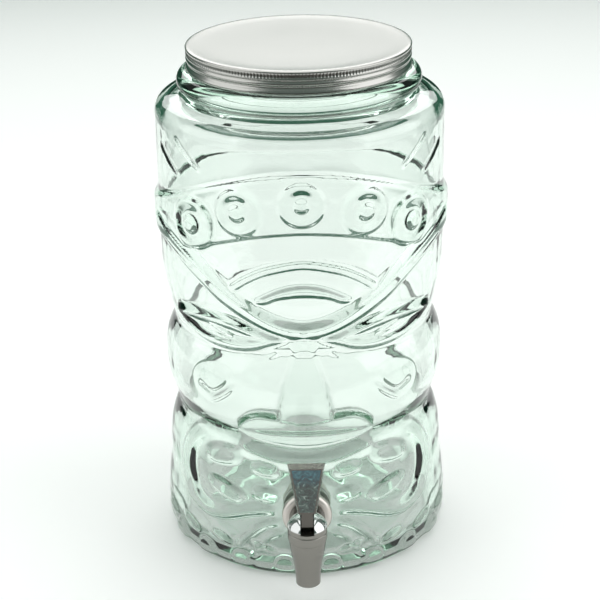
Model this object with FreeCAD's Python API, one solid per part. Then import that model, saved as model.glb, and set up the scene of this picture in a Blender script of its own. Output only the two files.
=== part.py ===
"""Drinks dispenser: a moulded glass jar with a carved tiki face in relief, a screw lid and a lever tap.

Millimetres, +Z up. The origin is on the jar's axis, at the plane that the jar stands on. The face and the
tap look along -Y, and +X is to the right of someone facing them. One STEP file is written for each piece.
"""

import FreeCAD
import Part
import math
import os

V = FreeCAD.Vector
UP = V(0, 0, 1)
RIGHT = V(1, 0, 0)
BACK = V(0, 1, 0)
AXIS = V(0, 0, 0)

# ---- jar -----------------------------------------------------------------------------------------------
WALL_R = 83.0          # outside of the plain wall under the shoulder
WALL_T = 5.2           # glass thickness of the wall
BASE_T = 7.2           # and of the swollen base ring, which is heavier
FOOT_R = 81.4          # outer edge of the ring that the jar stands on
FOOT_INNER_R = 62.0    # inner edge of that ring
PUNT = 2.5             # how far the middle of the bottom is lifted off the table
FLOOR_Z = 9.0          # inside of the bottom
BASE_TOP = 42.0        # top of the swollen base ring
JAW_TOP = 82.5         # waist between the jaw and the ears
EAR_TOP = 138.5        # waist between the ears and the brow
WALL_FROM = 174.0      # the wall is straight from here
WALL_TO = 263.0        # up to here, where the shoulder starts to turn in
NOSE_R = 88.0          # the nostrils' front stands this far from the axis
BRIDGE_BACK = 2.2      # the bridge's lower end is this far behind the nostrils' front
SHOULDER_Z = 271.8     # the shoulder's inner end, under the neck bead
BEAD_Z = 280.2         # middle of the round bead round the neck
BEAD_R = 64.2          # distance from the axis to the bead's middle
BEAD_ROUND = 5.85      # radius of the bead's own section
FINISH_Z = 286.3       # the threaded finish starts here
FINISH_R = 60.8
RIM_Z = 296.8          # the jar's mouth
MOUTH_R = 56.8         # inside of the neck

# ---- screw thread --------------------------------------------------------------------------------------
PITCH = 5.0            # lid rise for one turn
RIDGE_R = 1.5          # round ridge on the glass
RIDGE_OUT = 0.4        # its middle stands this far outside the finish
RIDGE_Z = 290.1        # middle of its first stretch
STRETCHES = 4          # a thread is broken at the mould seams: four stretches to a turn
STRETCH_DEG = 80.0
ROLL_R = 1.3           # round inward roll of the lid's skirt, which runs under the ridge

# ---- lid -----------------------------------------------------------------------------------------------
LID_TOP = 300.0
LID_BOTTOM = 286.6
LID_R = 64.1
LID_T = 0.8
KNURL_COUNT = 120
KNURL_DEPTH = 0.35
KNURL_Z = (294.6, 298.4)
GASKET_T = 1.6
GASKET_R = (56.0, 62.4)

# ---- tap -----------------------------------------------------------------------------------------------
TAP_Z = 43.5           # height of the hole through the wall
BOSS_R = 17.0          # flat pad of glass round the hole
BOSS_FACE_Y = -84.2
INNER_PAD_R = 17.0
INNER_FACE_Y = -74.6
HOLE_R = 8.2
WASHER_T = 2.0
WASHER_R = 13.6
SHANK_R = 7.6
SHANK_BORE_R = 4.5
SHANK_END_Y = -62.4
ESCUTCHEON_T = 4.5
ESCUTCHEON_R = 14.4
NUT_T = 8.0
NUT_FLATS = 24.0
FLAT_WASHER_T = 1.2
BARREL_Y = -114.0      # axis of the upright barrel
NECK_R = 8.4           # between the barrel and the cover plate
SPOUT_Z = 15.0         # mouth of the spout
SPOUT_BORE_R = 4.6
SEAT_Z = 36.8
CHAMBER_R = 7.2
COLLAR_R = 9.1         # the body's collar inside the bonnet
COLLAR_Z = 49.0
BONNET_Z = 45.4        # seam between bonnet and body
BONNET_R = 11.2
BONNET_WEB = (49.5, 51.6)
DOME_Z = 53.0
DOME_TOP = 58.6
SLOT_W = 7.8           # slot in the bonnet that the lever's hub sits in
SLOT_BACK = 4.0        # it runs this far past the barrel's axis
STEM_R = 1.7
STEM_TOP = 58.0
COLLAR_STEM = (39.4, 40.4, 4.6)
CROSS_PIN = 7.0        # length of the pin through the rod
PIVOT_Y = BARREL_Y - 3.5
PIVOT_Z = 54.8
PIN_R = 1.1
PIVOT_PIN = 18.0       # length of the lever's pivot pin
HUB_W = 7.2
LEVER_NECK_W = 6.4     # between the hub and the paddle
HUB_R = 2.3
FORK_REACH = 6.6       # from the pivot to the tips of the two prongs that lift the rod
FORK_GAP = 4.4         # the rod stands between them
PADDLE_Z = (63.4, 95.2)        # the lever's paddle, bottom and top
PADDLE_Y = (-121.0, -127.0)  # its front face, bottom and top
PADDLE_W = (9.2, 18.0)         # width of its front face
PADDLE_BACK = (11.0, 20.6)     # width of its back
PADDLE_T = (4.4, 6.6)
PADDLE_RIM = 1.2       # the sides are square for this depth, and lean in from there to the front
INLAY_INSET = 0.8
INLAY_T = 1.0


# ---- helpers -------------------------------------------------------------------------------------------
def arc(a, b, c):
    """Edge of the circle through three points."""
    return Part.Arc(a, b, c).toShape()


def line(a, b):
    return Part.makeLine(a, b)


def chords(a, b, c, count):
    """This many straight edges, end to end along the circle through three points."""
    points = arc(a, b, c).discretize(count + 1)
    if points[0].distanceToPoint(a) > points[-1].distanceToPoint(a):
        points.reverse()
    return [line(p, q) for p, q in zip(points[:-1], points[1:])]


def spin(edges):
    """Solid of revolution about the Z axis from edges in the XZ plane, closed along the axis."""
    return Part.Face(Part.Wire(Part.sortEdges(edges)[0])).revolve(AXIS, UP, 360)


def spun(points):
    """Solid of revolution about Z from (radius, height) corners, joined by straight lines."""
    corners = [V(r, 0, z) for r, z in points]
    corners.append(corners[0])
    return Part.Face(Part.makePolygon(corners)).revolve(AXIS, UP, 360)


def tube(outer, inner, base, length, along):
    return Part.makeCylinder(outer, length, base, along).cut(Part.makeCylinder(inner, length, base, along))


def closed_curve(points):
    """Face inside a smooth closed curve through points."""
    curve = Part.BSplineCurve()
    curve.interpolate(Points=points, PeriodicFlag=True)
    return Part.Face(Part.Wire(curve.toShape()))


def front(x, z):
    """Point on a plane in front of the jar, from which outlines are pushed back into it."""
    return V(x, -110, z)


def at(angle, z):
    """Front-view point of the place on the wall at this angle from the middle of the face, in degrees."""
    return front(WALL_R * math.sin(math.radians(angle)), z)


def pushed(face):
    """The outline in the front plane, made into a block that reaches the jar's axis."""
    return face.extrude(V(0, 108, 0))


def outward(angle):
    """Unit vector away from the axis, at this angle from the middle of the face towards +X."""
    a = math.radians(angle)
    return V(math.sin(a), -math.cos(a), 0)


def both_sides(make):
    """A shape and its mirror image across the plane X = 0."""
    shape = make()
    return [shape, shape.mirror(AXIS, RIGHT)]


def write(name, shape):
    if not shape.isValid() or shape.Volume <= 0:
        raise ValueError(name + " is not a valid solid")
    solids = shape.Solids
    (solids[0] if len(solids) == 1 else Part.makeCompound(solids)).exportStep("parts/" + name + ".step")
    print(name, len(solids), "solid(s)", round(shape.Volume / 1000, 2), "cm3")


# ---- jar -----------------------------------------------------------------------------------------------
def blank(out=0.0):
    """The jar's outside as a solid. Its walls stand out by this much more than the plain jar."""
    def p(r, z):
        return V(r + out, 0, z)
    bead_low, bead_high = [V(BEAD_R + BEAD_ROUND * math.cos(a), 0, BEAD_Z + BEAD_ROUND * math.sin(a))
                           for a in (math.radians(-72), math.radians(106))]
    neck_notch = V(bead_low.x, 0, 272.8)
    shoulder_in, shoulder_out = V(70.0, 0, SHOULDER_Z), V(76.0, 0, SHOULDER_Z - 0.5)
    rim_out, rim_in = V(FINISH_R, 0, RIM_Z - 1.2), V(59.6, 0, RIM_Z)
    edges = [line(V(0, 0, 0), p(FOOT_R, 0))]
    edges += chords(p(FOOT_R, 0), p(83.6, 3.5), p(84.8, 10), 3)
    edges += chords(p(84.8, 10), p(85.5, 25), p(83.2, BASE_TOP), 4)
    edges += chords(p(83.2, BASE_TOP), p(82.9, 57), p(76.3, JAW_TOP), 5)
    edges += chords(p(76.3, JAW_TOP), p(82.9, 111), p(76.6, EAR_TOP), 6)
    edges += chords(p(76.6, EAR_TOP), p(80.6, 158), p(WALL_R, WALL_FROM), 3)
    edges.append(line(p(WALL_R, WALL_FROM), p(WALL_R, WALL_TO)))
    edges += chords(p(WALL_R, WALL_TO), p(81.3, 268.8), shoulder_out, 4)
    edges += [line(shoulder_out, shoulder_in), line(shoulder_in, neck_notch), line(neck_notch, bead_low)]
    edges += chords(bead_low, V(BEAD_R + BEAD_ROUND, 0, BEAD_Z), bead_high, 8)
    edges += [line(bead_high, V(FINISH_R, 0, FINISH_Z)), line(V(FINISH_R, 0, FINISH_Z), rim_out)]
    edges += chords(rim_out, V(60.45, 0, RIM_Z - 0.35), rim_in, 2)
    edges += [line(rim_in, V(0, 0, RIM_Z)), line(V(0, 0, RIM_Z), V(0, 0, 0))]
    return spin(edges)


def cavity():
    """The space inside the jar, open at the mouth."""
    t = WALL_T
    floor_corner, jaw_r = V(73.0, 0, FLOOR_Z), V(76.3 - t, 0, JAW_TOP)
    heel, base_r = V(77.8, 0, FLOOR_Z + 5), V(83.2 - BASE_T, 0, BASE_TOP)
    ear_r, neck_low = V(76.6 - t, 0, EAR_TOP), V(MOUTH_R, 0, 275)
    wall_low, wall_high = V(WALL_R - t, 0, WALL_FROM), V(WALL_R - t, 0, WALL_TO - 1.5)
    shoulder_out, shoulder_in = V(74.0, 0, 266.2), V(66.0, 0, 267.4)
    edges = [line(V(0, 0, FLOOR_Z), floor_corner)]
    edges += chords(floor_corner, V(76.3, 0, FLOOR_Z + 1.5), heel, 3)
    edges.append(line(heel, base_r))
    edges += chords(base_r, V(82.9 - BASE_T, 0, 57), jaw_r, 5)
    edges += chords(jaw_r, V(82.6 - t, 0, 111), ear_r, 6)
    edges += chords(ear_r, V(80.4 - t, 0, 158), wall_low, 3)
    edges.append(line(wall_low, wall_high))
    edges += chords(wall_high, V(76.8, 0, 265.0), shoulder_out, 3)
    edges.append(line(shoulder_out, shoulder_in))
    edges += chords(shoulder_in, V(59.4, 0, 269.8), neck_low, 3)
    edges += [line(neck_low, V(MOUTH_R, 0, RIM_Z + 1)), line(V(MOUTH_R, 0, RIM_Z + 1), V(0, 0, RIM_Z + 1)),
              line(V(0, 0, RIM_Z + 1), V(0, 0, FLOOR_Z))]
    return spin(edges)


def headband():
    """Block that cuts the headband out of a blank: high over the brow, and a plain hoop round the back."""
    reach = 92.0
    steps = 9
    top, bottom = [], []
    for i in range(steps):
        c = i / (steps - 1)
        angle = math.acos(c)
        low = 193 + 21 * math.cos(1.6 * angle) ** 2 if angle < math.radians(56) else 193
        top.append(V(-100, -reach * c, 217 + 33.5 * c ** 1.75))
        bottom.append(V(-100, -reach * c, low))
    back_top, back_bottom = V(-100, reach, 217), V(-100, reach, 193)
    corners = [back_bottom] + bottom + top[::-1] + [back_top, back_bottom]
    return Part.Face(Part.makePolygon(corners)).extrude(V(200, 0, 0))


def ringed_eye(angle, z, radius, pupil, rim=3.4):
    """Block for one ring of the headband with the round button in its middle."""
    base = outward(angle) * 40 + V(0, 0, z)
    ring = tube(radius, radius - rim, base, 70, outward(angle))
    return Part.makeCompound([ring, Part.makeCylinder(pupil, 70, base, outward(angle))])


def brow_strap():
    """One of the two straps that run down from the temples and cross over the nose."""
    corners = [at(0, 163), at(16, 172), at(40, 195.5), at(58, 204), at(72, 208),
               at(75, 201), at(55, 187), at(33, 170.5), at(12, 155), at(0, 150)]
    return pushed(Part.Face(Part.makePolygon(corners + corners[:1])))


def arched_rib(outer, inner, half_angle, end_drop):
    """Forehead fold: a band between two arcs, given their crowns' heights."""
    left, right = -half_angle, half_angle
    edges = [
        arc(at(left, outer - end_drop), at(0, outer), at(right, outer - end_drop)),
        line(at(right, outer - end_drop), at(right * 0.88, inner - end_drop)),
        arc(at(right * 0.88, inner - end_drop), at(0, inner), at(left * 0.88, inner - end_drop)),
        line(at(left * 0.88, inner - end_drop), at(left, outer - end_drop)),
    ]
    return pushed(Part.Face(Part.Wire(edges)))


def eye():
    """One slanted eye: its lower lid is a long curve, and its upper lid runs under the strap."""
    outline = [at(8, 149.5), at(15, 144), at(26, 139.2), at(37, 138.2), at(48, 140), at(62, 149),
               at(64, 156), at(50, 160), at(38, 160), at(24, 156)]
    return pushed(closed_curve(outline))


def eye_hollow():
    outline = [at(14, 150), at(24, 144.5), at(36, 142.8), at(48, 145), at(57, 152),
               at(44, 155.5), at(30, 155)]
    return pushed(closed_curve(outline))


def pupil():
    outline = [at(26, 148.5), at(34, 147.8), at(41, 152.5), at(35, 153.4)]
    return pushed(closed_curve(outline))


def nose():
    """Wedge from the bridge out to the wide nostrils."""
    def section(z, half, y):
        corners = [V(-half, -60, z), V(half, -60, z), V(half * 0.75, y, z), V(-half * 0.75, y, z)]
        return Part.makePolygon(corners + corners[:1])
    bridge = Part.makeLoft([section(152, 5, -82.5), section(103, 17, BRIDGE_BACK - NOSE_R)], True, True)
    wings = [at(0, 81), at(22, 86), at(28.5, 92), at(27.5, 97.5), at(20, 106), at(12, 108),
             at(-12, 108), at(-20, 106), at(-27.5, 97.5), at(-28.5, 92), at(-22, 86)]
    base = Part.Face(Part.makePolygon(wings + wings[:1])).extrude(V(0, 108, 0))
    slab = base.common(Part.makeBox(120, NOSE_R - 60, 40, V(-60, -NOSE_R, 75)))
    return bridge.fuse(slab.common(Part.makeCylinder(NOSE_R, 60, V(0, 0, 70), UP)))


def mouth():
    """The lips: a bean-shaped ring round the mouth, pushed back from the front."""
    outer = [at(0, 77.5), at(12, 78.5), at(24, 82), at(38, 86), at(52.7, 82), at(60.3, 60), at(54.8, 38),
             at(46, 32), at(35.5, 31.2), at(22.3, 38.6), at(10.6, 42.4), at(0, 43.5)]
    inner = [at(0, 73), at(13, 74), at(24, 77.5), at(36, 81.5), at(47, 77), at(52.5, 60), at(47.8, 43),
             at(39, 38.2), at(33, 38.7), at(21.3, 44), at(10, 47), at(0, 48)]
    def bean(points):
        left = [V(-p.x, p.y, p.z) for p in points[1:-1]]
        return closed_curve(points + left[::-1])
    return pushed(bean(outer)).cut(pushed(bean(inner)))


def tooth(angle, z, half_w, half_h, tilt):
    """Block for one tooth, an oval with its long side tilted by this many degrees."""
    oval = Part.Ellipse(V(0, 0, 0), half_w, half_h)
    face = Part.Face(Part.Wire(oval.toShape()))
    block = face.extrude(V(0, 0, 70))
    block.rotate(AXIS, UP, tilt)
    block.rotate(AXIS, RIGHT, 90)
    block.rotate(AXIS, UP, angle)
    block.translate(outward(angle) * 30 + V(0, 0, z))
    return block


def chin_arch():
    edges = [
        arc(at(-28, 17), at(0, 41), at(28, 17)),
        line(at(28, 17), at(22.5, 11)),
        arc(at(22.5, 11), at(0, 34), at(-22.5, 11)),
        line(at(-22.5, 11), at(-28, 17)),
    ]
    return pushed(Part.Face(Part.Wire(edges)))


def thread(radius, minor, middle_z, first):
    """Round ridge up one turn of a right-handed screw, in stretches that are each part of a tilted torus."""
    tilt = math.degrees(math.atan(PITCH / (2 * math.pi * radius)))
    made = []
    for i in range(first, first + STRETCHES):
        turn = i * 360.0 / STRETCHES
        piece = Part.makeTorus(radius, minor, AXIS, UP, -180, 180, STRETCH_DEG)
        piece.rotate(AXIS, UP, -STRETCH_DEG / 2)
        piece.rotate(AXIS, RIGHT, tilt)
        piece.rotate(AXIS, UP, turn)
        piece.translate(V(0, 0, middle_z + PITCH * turn / 360.0))
        made.append(piece)
    return made


def jar():
    plain = blank()
    body = plain
    raised = []
    low, mid, high = blank(1.8), blank(3.0), blank(4.4)
    raised.append(mid.common(headband()))
    rings = [ringed_eye(0, 232.5, 13.6, 5.2)]
    rings += both_sides(lambda: ringed_eye(23.6, 226.5, 14.5, 5.8))
    rings += both_sides(lambda: ringed_eye(44.5, 214.5, 15.6, 6.0))
    raised += [high.common(solid) for ring in rings for solid in ring.Solids]
    raised += [high.common(s) for s in both_sides(brow_strap)]
    raised.append(mid.common(arched_rib(199.6, 194.8, 28, 18.5)))
    raised.append(mid.common(arched_rib(186.4, 176.8, 19, 9.5)))
    raised += [mid.common(s.cut(h)) for s, h in zip(both_sides(eye), both_sides(eye_hollow))]
    raised += [low.common(s) for s in both_sides(pupil)]
    raised.append(nose())
    cheek = both_sides(lambda: Part.makeCylinder(22, 70, outward(40) * 30 + V(0, 0, 116), outward(40)))
    raised += [mid.common(s) for s in cheek]
    raised.append(high.common(mouth()))
    for place in ((35.6, 74.3, 14.0, 5.6, -6), (17, 69.5, 8.4, 4.0, 8),
                  (33.8, 52.6, 14.5, 5.4, 20), (15.6, 54.0, 8.6, 4.6, 4)):
        raised += [mid.common(s) for s in both_sides(lambda: tooth(*place))]
    raised.append(low.common(chin_arch()))
    knobs = 20
    for i in range(knobs):
        place = outward((i + 0.5) * 360.0 / knobs)
        raised.append(low.common(Part.makeCylinder(6.4, 60, place * 40 + V(0, 0, 8.5), place)))
    for piece in raised:
        body = body.fuse(piece)
    front_of_boss = Part.makeCylinder(BOSS_R + 0.8, 30, V(0, BOSS_FACE_Y - 30, TAP_Z), BACK)
    body = body.cut(front_of_boss)
    body = body.fuse(Part.makeCylinder(BOSS_R, 20, V(0, BOSS_FACE_Y, TAP_Z), BACK))
    body = body.cut(cavity())
    pad_y = BOSS_FACE_Y + 1
    body = body.fuse(Part.makeCylinder(INNER_PAD_R, INNER_FACE_Y - pad_y, V(0, pad_y, TAP_Z), BACK))
    body = body.cut(Part.makeCylinder(HOLE_R, 40, V(0, BOSS_FACE_Y - 10, TAP_Z), BACK))
    punt = spun([(0, -1), (FOOT_INNER_R, -1), (FOOT_INNER_R, 0), (FOOT_INNER_R - 6, PUNT), (0, PUNT)])
    body = body.cut(punt)
    for ridge in thread(FINISH_R + RIDGE_OUT, RIDGE_R, RIDGE_Z, 0):
        body = body.fuse(ridge)
    return body


# ---- lid -----------------------------------------------------------------------------------------------
def lid_shell():
    """Pressed metal lid: rounded top edge, knurled band, two rolled grooves and a curled lower edge."""
    r, t, top, low = LID_R, LID_T, LID_TOP, LID_BOTTOM
    inside = r - t
    shell = spun([(0, top), (r - 1.2, top), (r - 0.3, top - 0.4), (r, top - 1.2), (r, low + 1.2),
                  (r - 0.2, low + 0.3), (r - 0.9, low), (inside, low), (inside, top - 1.4),
                  (inside - 0.6, top - t), (0, top - t)])
    groove_z = (293.4, 289.6)
    for z in groove_z:
        shell = shell.cut(Part.makeTorus(r + 0.55, 0.8, V(0, 0, z), UP))
    for i in range(KNURL_COUNT):
        a = 360.0 * i / KNURL_COUNT
        notch = Part.makeCylinder(KNURL_DEPTH + 0.15, KNURL_Z[1] - KNURL_Z[0],
                                  outward(a) * (r + 0.15) + V(0, 0, KNURL_Z[0]), UP)
        shell = shell.cut(notch)
    for roll in thread(inside, ROLL_R, RIDGE_Z - PITCH / 2, 1):
        shell = shell.fuse(roll.common(Part.makeCylinder(inside + 0.3, 30, V(0, 0, low), UP)))
    return shell


def lid_gasket():
    return tube(GASKET_R[1], GASKET_R[0], V(0, 0, RIM_Z), GASKET_T, UP)


# ---- tap -----------------------------------------------------------------------------------------------
def upright(shape):
    """Moves a piece made on the Z axis to the barrel's axis."""
    shape.translate(V(0, BARREL_Y, 0))
    return shape


def along_shank(outer, inner, y_from, y_to):
    return tube(outer, inner, V(0, y_from, TAP_Z), y_to - y_from, BACK)


def tap_body():
    """Barrel with its spout, the shank that goes through the wall, and the drink's way through both."""
    lip = SPOUT_Z + 0.6
    outside = [line(V(0, 0, SPOUT_Z), V(6.4, 0, SPOUT_Z)), line(V(6.4, 0, SPOUT_Z), V(7.0, 0, lip)),
               arc(V(7.0, 0, lip), V(7.5, 0, 24), V(8.9, 0, 33)),
               arc(V(8.9, 0, 33), V(10.0, 0, 39), V(10.5, 0, 43.6)),
               line(V(10.5, 0, 43.6), V(10.9, 0, 44)), line(V(10.9, 0, 44), V(10.9, 0, BONNET_Z)),
               line(V(10.9, 0, BONNET_Z), V(COLLAR_R, 0, BONNET_Z)),
               line(V(COLLAR_R, 0, BONNET_Z), V(COLLAR_R, 0, COLLAR_Z)),
               line(V(COLLAR_R, 0, COLLAR_Z), V(0, 0, COLLAR_Z)), line(V(0, 0, COLLAR_Z), V(0, 0, SPOUT_Z))]
    barrel = upright(spin(outside))
    flange_y = BOSS_FACE_Y - WASHER_T - ESCUTCHEON_T
    neck = Part.makeCylinder(NECK_R, flange_y - BARREL_Y, V(0, BARREL_Y, TAP_Z), BACK)
    neck = neck.cut(upright(Part.makeCylinder(BONNET_R + 0.4, 20, V(0, 0, BONNET_Z), UP)))
    shoulder = Part.makeCylinder(NECK_R + 2, 1.5, V(0, flange_y - 1.5, TAP_Z), BACK)
    shank = Part.makeCylinder(SHANK_R, SHANK_END_Y - flange_y, V(0, flange_y, TAP_Z), BACK)
    body = barrel.fuse(neck).fuse(shoulder).fuse(shank)
    body = body.cut(upright(Part.makeCylinder(SPOUT_BORE_R, 40, V(0, 0, SPOUT_Z - 1), UP)))
    body = body.cut(upright(Part.makeCylinder(CHAMBER_R, 20, V(0, 0, SEAT_Z), UP)))
    return body.cut(Part.makeCylinder(SHANK_BORE_R, SHANK_END_Y - BARREL_Y + 1, V(0, BARREL_Y, TAP_Z), BACK))


def escutcheon():
    """Round cover plate between the tap and the jar, with a rounded front edge."""
    back = BOSS_FACE_Y - WASHER_T
    bore = SHANK_R + 0.1
    plate = Part.makeCylinder(ESCUTCHEON_R, ESCUTCHEON_T, V(0, back - ESCUTCHEON_T, TAP_Z), BACK)
    edges = [e for e in plate.Edges if abs(e.CenterOfMass.y - (back - ESCUTCHEON_T)) < 0.01 and e.Length > 50]
    plate = plate.makeFillet(2.6, edges)
    return plate.cut(Part.makeCylinder(bore, 20, V(0, back - 10, TAP_Z), BACK))


def shank_nut():
    y = INNER_FACE_Y + WASHER_T + FLAT_WASHER_T
    radius = NUT_FLATS / 2 / math.cos(math.radians(30))
    corners = [V(radius * math.cos(math.radians(60 * i)), y, TAP_Z + radius * math.sin(math.radians(60 * i)))
               for i in range(6)]
    hexagon = Part.Face(Part.makePolygon(corners + corners[:1])).extrude(V(0, NUT_T, 0))
    collar = Part.makeCylinder(WASHER_R - 0.2, 1.6, V(0, y, TAP_Z), BACK)
    return hexagon.fuse(collar).cut(Part.makeCylinder(SHANK_R + 0.05, 30, V(0, y - 5, TAP_Z), BACK))


def bonnet():
    """Domed cap screwed over the barrel, slotted at the front for the lever."""
    dome = [line(V(0, 0, BONNET_Z), V(BONNET_R, 0, BONNET_Z)),
            line(V(BONNET_R, 0, BONNET_Z), V(BONNET_R, 0, DOME_Z)),
            arc(V(BONNET_R, 0, DOME_Z), V(8.2, 0, 56.9), V(0, 0, DOME_TOP)),
            line(V(0, 0, DOME_TOP), V(0, 0, BONNET_Z))]
    cap = spin(dome)
    cap = cap.cut(Part.makeCylinder(COLLAR_R + 0.05, BONNET_WEB[0] - BONNET_Z, V(0, 0, BONNET_Z), UP))
    cap = cap.cut(Part.makeCylinder(STEM_R + 0.1, 10, V(0, 0, BONNET_WEB[0] - 1), UP))
    cap = cap.cut(Part.makeBox(SLOT_W, BONNET_R + 1 + SLOT_BACK, 10,
                               V(-SLOT_W / 2, -BONNET_R - 1, BONNET_WEB[1])))
    cap = cap.cut(Part.makeTorus(BONNET_R + 0.3, 0.55, V(0, 0, 49.4), UP))
    cap = upright(cap)
    return cap.cut(Part.makeCylinder(PIN_R, 30, V(-15, PIVOT_Y, PIVOT_Z), RIGHT))


def bonnet_gasket():
    return upright(tube(COLLAR_R - 0.1, CHAMBER_R + 0.1, V(0, 0, COLLAR_Z), BONNET_WEB[0] - COLLAR_Z, UP))


def stem():
    """Valve rod with its spring collar and the button that the seal is pressed over."""
    low, high, radius = COLLAR_STEM
    rod = Part.makeCylinder(STEM_R, STEM_TOP - low, V(0, 0, low), UP)
    collar = Part.makeCylinder(radius, high - low, V(0, 0, low), UP)
    button = Part.makeCylinder(2.4, low - SEAT_Z - 1.0, V(0, 0, SEAT_Z + 1.0), UP)
    made = upright(rod.fuse(collar).fuse(button))
    return made.cut(Part.makeCylinder(PIN_R, 20, V(-10, BARREL_Y, cross_pin_z()), RIGHT))


def cross_pin_z():
    """Height of the cross pin that rests on the lever's fork."""
    return PIVOT_Z + PIN_R + 0.15


def cross_pin():
    return Part.makeCylinder(PIN_R, CROSS_PIN, V(-CROSS_PIN / 2, BARREL_Y, cross_pin_z()), RIGHT)


def seat_seal():
    """Silicone cup pressed over the rod's button. It closes the spout."""
    top = COLLAR_STEM[0]
    cup = spun([(0, SEAT_Z), (5.6, SEAT_Z), (6.2, SEAT_Z + 0.8), (5.2, top), (0, top)])
    return upright(cup.cut(Part.makeCylinder(2.4, 5, V(0, 0, SEAT_Z + 1.0), UP)))


def stem_o_ring():
    return upright(Part.makeTorus(STEM_R + 0.85, 0.75, V(0, 0, BONNET_WEB[0] - 0.8), UP))


def valve_spring():
    """Round wire wound between the rod's collar and the bonnet."""
    wire_r, coil_r, turns = 0.35, 3.75, 4
    low = COLLAR_STEM[1] + wire_r + 0.03
    height = BONNET_WEB[0] - wire_r - 0.03 - low
    path = Part.makeHelix(height / turns, height, coil_r)
    path.translate(V(0, 0, low))
    section = Part.Wire(Part.makeCircle(wire_r, V(coil_r, 0, low), BACK))
    return upright(Part.Wire(path).makePipeShell([section], True, True))


def paddle():
    """The lever's flared handle, leaning forward a little."""
    def section(i):
        z, y, front_x, back_x = PADDLE_Z[i], PADDLE_Y[i], PADDLE_W[i] / 2, PADDLE_BACK[i] / 2
        back_y = y + PADDLE_T[i]
        rim_y = back_y - PADDLE_RIM
        corners = [V(-front_x, y, z), V(front_x, y, z), V(back_x, rim_y, z),
                   V(back_x, back_y, z), V(-back_x, back_y, z), V(-back_x, rim_y, z)]
        return Part.makePolygon(corners + corners[:1])
    return Part.makeLoft([section(0), section(1)], True, True)


def inlay(grow=0.0):
    """Panel let into the paddle's front face."""
    z0, z1 = PADDLE_Z[0] + 1.6 * INLAY_INSET, PADDLE_Z[1] - INLAY_INSET
    def across(z):
        s = (z - PADDLE_Z[0]) / (PADDLE_Z[1] - PADDLE_Z[0])
        width = PADDLE_W[0] + s * (PADDLE_W[1] - PADDLE_W[0]) - 2 * INLAY_INSET
        y = PADDLE_Y[0] + s * (PADDLE_Y[1] - PADDLE_Y[0])
        corners = [V(-width / 2, y - grow, z), V(width / 2, y - grow, z),
                   V(width / 2, y + INLAY_T, z), V(-width / 2, y + INLAY_T, z)]
        return Part.makePolygon(corners + corners[:1])
    return Part.makeLoft([across(z0), across(z1)], True, True)


def lever():
    """Paddle, neck, hub and the fork that lifts the valve rod."""
    neck_front, neck_back = PIVOT_Y - 2.9, PIVOT_Y + 0.9
    neck = Part.makeBox(LEVER_NECK_W, neck_back - neck_front, PADDLE_Z[0] + 1 - PIVOT_Z,
                        V(-LEVER_NECK_W / 2, neck_front, PIVOT_Z))
    hub = Part.makeCylinder(HUB_R, HUB_W, V(-HUB_W / 2, PIVOT_Y, PIVOT_Z), RIGHT)
    fork = Part.makeBox(HUB_W, FORK_REACH, HUB_R, V(-HUB_W / 2, PIVOT_Y, PIVOT_Z - HUB_R))
    made = paddle().cut(inlay(2.0)).fuse(neck).fuse(hub).fuse(fork)
    fork_gap = Part.makeBox(FORK_GAP, 12, 9.6, V(-FORK_GAP / 2, PIVOT_Y - 1.3, PIVOT_Z - 4))
    made = made.cut(fork_gap)
    return made.cut(Part.makeCylinder(PIN_R + 0.05, 30, V(-15, PIVOT_Y, PIVOT_Z), RIGHT))


def lever_pin():
    return Part.makeCylinder(PIN_R, PIVOT_PIN, V(-PIVOT_PIN / 2, PIVOT_Y, PIVOT_Z), RIGHT)


# ---- all the pieces ------------------------------------------------------------------------------------
def main():
    os.makedirs("parts", exist_ok=True)
    nut_y = INNER_FACE_Y + WASHER_T
    write("jar", jar())
    write("lid_shell", lid_shell())
    write("lid_gasket", lid_gasket())
    write("tap_body", tap_body())
    write("tap_escutcheon", escutcheon())
    write("outer_washer", along_shank(WASHER_R, SHANK_R + 0.1, BOSS_FACE_Y - WASHER_T, BOSS_FACE_Y))
    write("inner_washer", along_shank(WASHER_R, SHANK_R + 0.1, INNER_FACE_Y, nut_y))
    write("flat_washer", along_shank(WASHER_R, SHANK_R + 0.1, nut_y, nut_y + FLAT_WASHER_T))
    write("shank_nut", shank_nut())
    write("bonnet", bonnet())
    write("bonnet_gasket", bonnet_gasket())
    write("valve_stem", stem())
    write("stem_cross_pin", cross_pin())
    write("seat_seal", seat_seal())
    write("stem_o_ring", stem_o_ring())
    write("valve_spring", valve_spring())
    write("lever", lever())
    write("lever_inlay", inlay())
    write("lever_pin", lever_pin())


main()
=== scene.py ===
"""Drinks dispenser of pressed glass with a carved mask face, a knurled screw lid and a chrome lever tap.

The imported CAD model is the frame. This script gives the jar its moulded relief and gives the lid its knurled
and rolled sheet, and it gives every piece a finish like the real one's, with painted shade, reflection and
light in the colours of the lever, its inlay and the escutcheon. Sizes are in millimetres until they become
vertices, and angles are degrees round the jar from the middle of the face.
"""

import bpy
import math
import numpy as np
from mathutils import Euler, Matrix, Vector


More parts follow.
